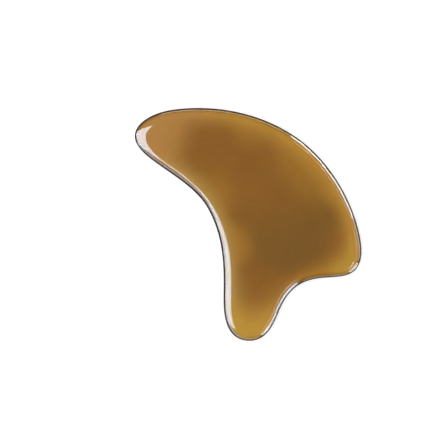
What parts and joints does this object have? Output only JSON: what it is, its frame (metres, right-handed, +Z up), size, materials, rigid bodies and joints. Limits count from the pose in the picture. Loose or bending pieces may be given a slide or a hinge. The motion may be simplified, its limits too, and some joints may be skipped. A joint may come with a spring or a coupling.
{
  "type": "gua sha scraper",
  "caption": "Flat hand-held scraping board in glossy translucent amber resin, with a long curved back, a concave hollow, a notch and a smooth rounded edge.",
  "frame": {"origin": "centre of the bounding box at the underside the board lies on", "axes": "+Z up, square to the flat faces; +Y from the rounded foot towards the beak and the crown; +X towards the broad back and the heel"},
  "size_m": [0.087, 0.0894, 0.005],
  "materials": {
    "amber_resin": "high polish, translucent"
  },
  "bodies": {
    "root": {"scraper_board": "amber_resin"}
  },
  "joints": []
}
